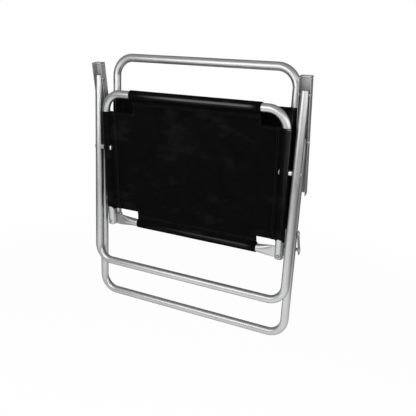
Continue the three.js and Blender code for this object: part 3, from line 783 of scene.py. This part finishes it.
def addSleeve(bm, outward, reach, plane, behind, shine, radius=cloth["round"], lean=0, narrow=30):
    # extrudes the seam that lies at reach along outward. lean, in degrees, says how far round the tube the glossy
    # line sits, turned to where the lamps reflect, so partly painted sheen; narrow how fine it is, and shine how
    # strong at a point
    outward, lean = Vector(outward), math.radians(lean)
    flat, polishAndSheen = bm.verts.layers.float_vector["flat"], bm.verts.layers.float["polishAndSheen"]
    edges = [e for e in bm.edges if e.is_boundary and all(v.co.dot(outward) > reach - nearly for v in e.verts)]
    here = Vector((-cloth["seam"], plane))
    for out, rise in sleevePath(plane, behind, radius):
        fromAxis, crest = math.hypot(out, rise), 0
        if fromAxis < cloth["nearTube"]:
            crest = max(0, abs(rise) * math.cos(lean) + out * math.sin(lean)) / fromAxis
        there = Vector((out, rise))
        step, here = there - here, there
        verts, edges = extruded(bm, edges)
        bmesh.ops.translate(bm, vec=outward * step.x + Vector((0, step.y, 0)), verts=verts)
        for v in verts:
            v[flat] = v[flat] + Vector((outward.x, outward.z, 0)) * step.length
            v[polishAndSheen] = crest ** narrow * shine(v.co)


def clothGrid(left, right, bottom, top):
    bm = bmesh.new()
    bm.verts.layers.float_vector.new("flat")
    bm.verts.layers.float.new("polishAndSheen")
    across = max(2, round((right - left) / cloth["grid"]))
    down = max(2, round((top - bottom) / cloth["grid"]))
    bmesh.ops.create_grid(bm, x_segments=across, y_segments=down, size=0.5)
    bmesh.ops.scale(bm, vec=(right - left, top - bottom, 1), verts=bm.verts)
    bmesh.ops.rotate(bm, cent=(0, 0, 0), matrix=Matrix.Rotation(quarter, 3, "X"), verts=bm.verts)
    bmesh.ops.translate(bm, vec=((left + right) / 2, 0, (top + bottom) / 2), verts=bm.verts)
    return bm


def settle(bm, rise):
    # writes the flat coordinates, then gives the panel its shape
    flat = bm.verts.layers.float_vector["flat"]
    for v in bm.verts:
        v[flat] = Vector((v.co.x, v.co.z, 0))
        v.co.y = rise(v.co.x, v.co.z)


def cutCorner(bm, x, z):
    for point, normal in (((x, 0, 0), (1, 0, 0)), ((0, 0, z), (0, 0, 1))):
        bmesh.ops.bisect_plane(bm, geom=list(bm.verts) + list(bm.edges) + list(bm.faces), dist=1e-6,
                               plane_co=point, plane_no=normal)
    middles = [(f, f.calc_center_median()) for f in bm.faces]
    away = [f for f, middle in middles if (middle.x - x) * x > 0 and (middle.z - z) * z > 0]
    bmesh.ops.delete(bm, geom=away, context="FACES")


def bulge(c, x, z, slack=1.0):
    # how far a sling's slack and ripples stand off its plane: nothing at the side seams, most in the middle
    free = max(0.0, 1 - (abs(x) / sideSeam) ** 2)
    ripple = noise.noise(Vector((x / cloth["rippleAcross"], z / cloth["rippleDown"], c["rippleSeed"])))
    return c["slack"] * free * slack + c["ripple"] * ripple * free ** 0.5


def drawn(z, start, seam):
    # 0 up to start, 1 at the seam
    return max(0.0, (z - start) / (seam - start)) ** 2


def seatRise(x, z):
    # the seat's panel: on the plane, slack in the middle, drawn to the front bar and up to the crossbar
    s = seatCloth
    slack = max(0.0, (frontSeam - z) * (z - rearSeam) / (0.25 * (frontSeam - rearSeam) ** 2))
    return (s["plane"] + bulge(s, x, z, slack) + s["rearLift"] * drawn(z, s["rearFrom"], rearSeam)
            - s["frontDrop"] * drawn(z, s["frontFrom"], frontSeam))


def backRise(x, z):
    return backCloth["plane"] + bulge(backCloth, x, z)


def seatSling():
    s = seatCloth
    bm = clothGrid(-sideSeam, sideSeam, rearSeam, frontSeam)
    for x, z in s["corners"]:
        cutCorner(bm, x, z)
    settle(bm, seatRise)
    # each sleeve's lean and narrow set its glossy line where the lamps reflect: partly painted sheen
    for way in (1, -1):
        addSleeve(bm, (way, 0, 0), sideSeam, s["plane"], 1, sideSheen, lean=50, narrow=9)
    addSleeve(bm, (0, 0, 1), frontSeam, s["plane"] - s["frontDrop"], 1, frontSheen, s["frontRound"], lean=7)
    addSleeve(bm, (0, 0, -1), -rearSeam, s["plane"] + s["rearLift"] - crossbar["rise"], 1, rearSheen,
              s["rearRound"], lean=-20)
    return bm


def backSling():
    b = backCloth
    bm = clothGrid(-sideSeam, sideSeam, b["bottom"], b["top"])
    settle(bm, backRise)
    for way in (1, -1):
        addSleeve(bm, (way, 0, 0), sideSeam, b["plane"], -1, lambda co: sleeveSheen["back"])
    return bm


def sheetPiece(name, bm, body, node):
    bmesh.ops.recalc_face_normals(bm, faces=bm.faces)
    piece = newPiece(name, bm, body, blackSling, replaces=[node], sharp=0)
    giveWall(piece, cloth["thick"], offset=0)
    return piece


seatPiece = sheetPiece("seatSling", seatSling(), "seat", "seat_fabric")
backPiece = sheetPiece("backSling", backSling(), "back", "back_fabric")


# stitching: two rows along each sleeve, one along each free hem, on both faces
stitch = {"long": 3.0 * mm, "pitch": 4.2 * mm, "thick": 0.7 * mm, "rows": (21.5 * mm, 26.0 * mm), "hem": 6 * mm,
          "proud": 0.62 * mm, "short": 2 * mm, "hemShort": 4 * mm, "seamShort": 12 * mm}
hemEnd = seat["halfWidth"] - stitch["rows"][1] - stitch["hemShort"]


def stitchCopies(bm, count, size):
    # one stitch, doubled until there are enough; "number" tells them apart
    number = bm.verts.layers.int.new("number")
    first = bmesh.ops.create_uvsphere(bm, u_segments=6, v_segments=4, radius=0.5)["verts"]
    bmesh.ops.scale(bm, vec=size, verts=first)
    have = 1
    while have < count:
        take = min(have, count - have)
        chosen = [v for v in bm.verts if v[number] < take]
        faces = [f for f in bm.faces if f.verts[0][number] < take]
        edges = [e for e in bm.edges if e.verts[0][number] < take]
        for v in vertsIn(bmesh.ops.duplicate(bm, geom=chosen + edges + faces)["geom"]):
            v[number] += have
        have += take
    return number


def sewn(name, body, rows):
    # rows of (start, end, rises), where each rise gives the height of one face's stitches at a point (x, z)
    whole = bmesh.new()
    long, thick = stitch["long"], stitch["thick"]
    for alongX, size in ((True, (long, thick, thick)), (False, (thick, thick, long))):
        places = []
        for start, end, rises in rows:
            start, end = Vector(start), Vector(end)
            if (abs(end.x - start.x) > abs(end.y - start.y)) != alongX:
                continue
            count = max(1, round((end - start).length / stitch["pitch"]))
            for i in range(count):
                x, z = start.lerp(end, (i + 0.5) / count)
                places += [Vector((x, rise(x, z), z)) for rise in rises]
        bm = bmesh.new()
        number = stitchCopies(bm, len(places), size)
        for v in bm.verts:
            v.co += places[v[number]]
        addTo(whole, bm)
    return newPiece(name, whole, body, blackThread, sharp=0)


def beside(rise, offset, atX=None, atZ=None):
    # a face beside the cloth; a flap keeps the height that the cloth has at its seam, atX or atZ
    return lambda x, z: offset + rise(x if atX is None else math.copysign(atX, x), z if atZ is None else atZ)


def seatSeams():
    short, under = stitch["short"], -cloth["lap"] - stitch["proud"]
    behind, before = beside(seatRise, stitch["proud"]), beside(seatRise, -stitch["proud"])
    corners = seatCloth["corners"]
    (leftFront, highLeft), (rightFront, highRight), (leftRear, lowLeft), (rightRear, lowRight) = corners
    rows = []
    for row in stitch["rows"]:
        sideX = seat["halfWidth"] - row
        for x, low, high in ((sideX, lowRight, highRight), (-sideX, lowLeft, highLeft)):
            rows.append(((x, low + short), (x, high - short), [beside(seatRise, under, atX=sideSeam), behind]))
        for z, left, right, seam in ((seat["above"] - row, leftFront, rightFront, frontSeam),
                                     (row - crossbar["along"], leftRear, rightRear, rearSeam)):
            rows.append(((left + short, z), (right - short, z), [beside(seatRise, under, atZ=seam), behind]))
    for x, z in corners:
        hemX, hemZ = (place - math.copysign(stitch["hem"], place) for place in (x, z))
        far = frontSeam - stitch["seamShort"] if z > 0 else rearSeam + stitch["seamShort"]
        for end in ((math.copysign(hemEnd, x), hemZ), (hemX, far)):
            rows.append(((hemX, hemZ), end, [before, behind]))
    return rows


def backSeams():
    b, rows = backCloth, []
    behind, before = beside(backRise, stitch["proud"]), beside(backRise, -stitch["proud"])
    flap = beside(backRise, cloth["lap"] + stitch["proud"], atX=sideSeam)
    for row in stitch["rows"]:
        for x in (back["halfWidth"] - row, row - back["halfWidth"]):
            rows.append(((x, b["bottom"] + stitch["short"]), (x, b["top"] - stitch["short"]), [before, flap]))
    for z in (b["bottom"] + stitch["hem"], b["top"] - stitch["hem"]):
        rows.append(((-hemEnd, z), (hemEnd, z), [before, behind]))
    return rows


seatThread = sewn("seatStitches", "seat", seatSeams())
backThread = sewn("backStitches", "back", backSeams())


def flatSize(piece):
    places = [d.vector for d in piece.data.attributes["flat"].data]
    width, length = (max(p[i] for p in places) - min(p[i] for p in places) for i in (0, 1))
    return width, length, sum(p.area for p in piece.data.polygons)


for piece, on, thread in ((seatPiece, ["seatTube", "pressedCrossbar"], seatThread),
                          (backPiece, ["backTube"], backThread)):
    width, length, area = flatSize(piece)
    print("cloth", piece.name, round(width, 4), round(length, 4), round(area, 4))
    min(area, width * length)
print("slings sewn")


# studio: white to the camera; metal sees a pale sheet on the floor, a dim room and a white card behind
studio = {"floor": -0.7185, "floorHalf": 6, "nearFloor": 0.97, "shadowFrom": 0.75, "shadowReach": 1.5,
          "paper": 0.92, "paperShift": (-0.15, 0.6, 0), "paperEdge": (0.55, 1.4), "paperGlow": 0.95,
          "beyond": 0.2, "soft": 0.7, "room": 0.1, "frontRoom": 0.15, "frontFade": (0.75, -0.2),
          "ceiling": 0.1, "ceilingFade": (0.2, 0.8), "cardWay": (-0.446, 0.895, 0), "cardHalfAngle": 20,
          "cardBlur": 0.15}
white = (1, 1, 1, 1)

floorMesh = bmesh.new()
bmesh.ops.create_grid(floorMesh, x_segments=1, y_segments=1, size=studio["floorHalf"])
bmesh.ops.translate(floorMesh, vec=(0, 0, studio["floor"]), verts=floorMesh.verts)
floorData = bpy.data.meshes.new("floor")
floorMesh.to_mesh(floorData)
floorMesh.free()
floorPiece = bpy.data.objects.new("floor", floorData)
scene.collection.objects.link(floorPiece)
paper = Finish("palePaper")
away, onPaper = (paper.node("VectorMath", {"operation": "LENGTH"}, {0: paper.place(shift=shift)}, output=1)
                 for shift in ((0, 0, 0), studio["paperShift"]))
paper.set(color=paper.blendColor(paper.between(onPaper, *studio["paperEdge"]), grey(studio["paper"]),
                                 grey(studio["beyond"])), roughness=0.8, specular=0.1)
whitened = paper.between(away, studio["shadowFrom"], studio["shadowReach"], studio["nearFloor"], 1.0)
inMetal = paper.between(onPaper, *studio["paperEdge"], studio["paperGlow"], 0)
glow = paper.node("Emission", {}, {"Color": white, "Strength": 1.0})
lit = paper.node("MixShader", {}, {0: paper.seen() * whitened + paper.ray("Glossy") * inMetal,
                                   1: Wire(paper, paper.shader.outputs[0]), 2: glow})
paper.feed(paper.tree.nodes["Material Output"].inputs["Surface"], lit)
floorData.materials.append(paper.material)

scene.world = bpy.data.worlds.new("studio")
scene.world.use_nodes = True
sky = Nodes(scene.world.node_tree)
looking = sky.node("TexCoord", output=0)
toCard = sky.node("VectorMath", {"operation": "DOT_PRODUCT"}, {0: looking, 1: studio["cardWay"]}, output=1)
card = sky.between(toCard, *(math.cos(math.radians(studio["cardHalfAngle"]) * (1 + blur))
                             for blur in (studio["cardBlur"], -studio["cardBlur"])))
front = sky.between(sky.part(looking, "Y"), *studio["frontFade"])
ceiling = sky.between(sky.part(looking, "Z"), *studio["ceilingFade"]) * studio["ceiling"]
room = card.math("MAXIMUM", (ceiling + studio["frontRoom"]) * front + studio["room"])
seen, glossy = sky.seen(), sky.ray("Glossy")
background = sky.tree.nodes["Background"]
sky.feed(background.inputs["Strength"], seen + (1 - seen) * (glossy * room + (1 - glossy) * studio["soft"]))
sky.feed(background.inputs["Color"], white)

# soft boxes in front; radiance is what each shows of itself to the metal
softBoxes = {
    "keyLamp": {"place": (-0.27, -0.92, 0.06), "target": (-0.27, 0, 0.06), "size": (0.98, 0.8),
                "radiance": 1.58, "roll": 20},
    "fillLamp": {"place": (1.3, -0.66, 0.2), "target": (0, 0, 0.2), "size": (2.74, 0.84),
                 "radiance": 1.35, "roll": 0},
}
for name, box in softBoxes.items():
    data = bpy.data.lights.new(name, "AREA")
    data.shape = "RECTANGLE"
    data.size, data.size_y = box["size"]
    data.energy = box["radiance"] * math.pi * data.size * data.size_y
    lamp = bpy.data.objects.new(name, data)
    aim = (Vector(box["target"]) - Vector(box["place"])).to_track_quat("-Z", "Y").to_matrix()
    lamp.location = box["place"]
    lamp.rotation_euler = (aim @ Matrix.Rotation(math.radians(box["roll"]), 3, "Z")).to_euler()
    lamp.visible_camera = False
    scene.collection.objects.link(lamp)
scene.view_settings.view_transform = "Standard"
print("studio lit")
